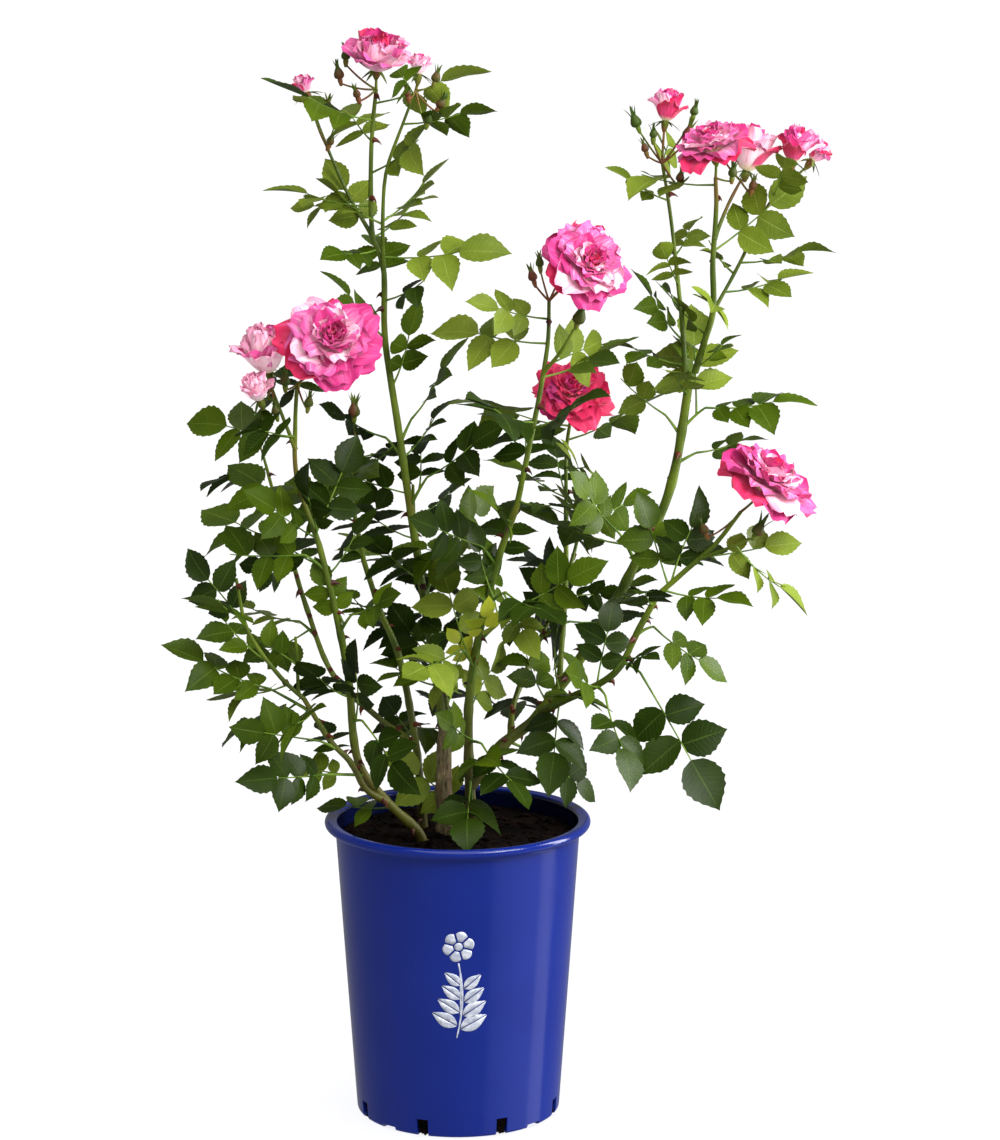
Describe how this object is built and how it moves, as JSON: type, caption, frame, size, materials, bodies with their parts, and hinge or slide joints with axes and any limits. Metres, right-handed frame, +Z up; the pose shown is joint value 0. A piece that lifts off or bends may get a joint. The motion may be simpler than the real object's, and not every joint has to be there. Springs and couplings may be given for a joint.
{
  "type": "rose bush in pot",
  "caption": "Potted garden rose bush with tall leafy canes and clusters of double blooms, growing from dark soil in a round tapered nursery pot with a rolled lip.",
  "frame": {"origin": "middle of the pot's flat underside, where it rests on the ground", "axes": "+Z up along the pot's axis, -Y towards the front of the plant, +X towards the right seen from the front"},
  "size_m": [0.5677, 0.4058, 0.9203],
  "materials": {
    "pot_plastic": "gloss",
    "potting_soil": "matte",
    "old_bark": "matte",
    "green_cane": "satin",
    "foliage": "satin"
  },
  "bodies": {
    "root": {"pot": "pot_plastic", "soil": "potting_soil", "trunk": "old_bark", "cane_tall": "green_cane", "cane_middle": "green_cane", "cane_right": "green_cane", "cane_low_right": "green_cane", "cane_left": "green_cane", "cane_far_left": "green_cane", "cane_inner_left": "green_cane", "cane_back_left": "green_cane", "cane_back_middle": "green_cane", "cane_rear": "green_cane", "cane_rear_right": "green_cane", "top_tall": "foliage", "top_middle": "foliage", "top_right_left": "foliage", "top_right": "foliage", "top_low_right": "foliage", "top_left": "foliage", "top_far_left": "foliage", "top_inner_left": "foliage", "top_back_left": "foliage", "top_back_middle": "foliage", "top_rear": "foliage", "top_rear_right": "foliage", "shoot_front_low": "foliage", "shoot_front_right": "foliage", "shoot_rim_right": "foliage", "shoot_young": "foliage", "shoot_front_left": "foliage", "shoot_front": "foliage", "shoot_heart_left": "foliage", "shoot_heart": "foliage", "shoot_tall_left": "foliage", "shoot_tall_right": "foliage", "shoot_tall_back": "foliage", "shoot_middle_right": "foliage", "shoot_right_front": "foliage", "shoot_right_inner": "foliage", "shoot_right_heart": "foliage", "shoot_right_left": "foliage", "shoot_right_out": "foliage", "shoot_right_low": "foliage", "shoot_hanging": "foliage", "shoot_low_inner": "foliage", "shoot_low_out": "foliage", "shoot_low_front": "foliage", "shoot_left_low": "foliage", "shoot_left_front": "foliage", "shoot_left_heart": "foliage", "shoot_left_out": "foliage", "shoot_far_low": "foliage", "shoot_far_out": "foliage", "shoot_inner_back": "foliage", "shoot_back_out": "foliage", "shoot_rear_left": "foliage", "shoot_rear_low": "foliage", "shoot_rear_right": "foliage"}
  },
  "joints": []
}
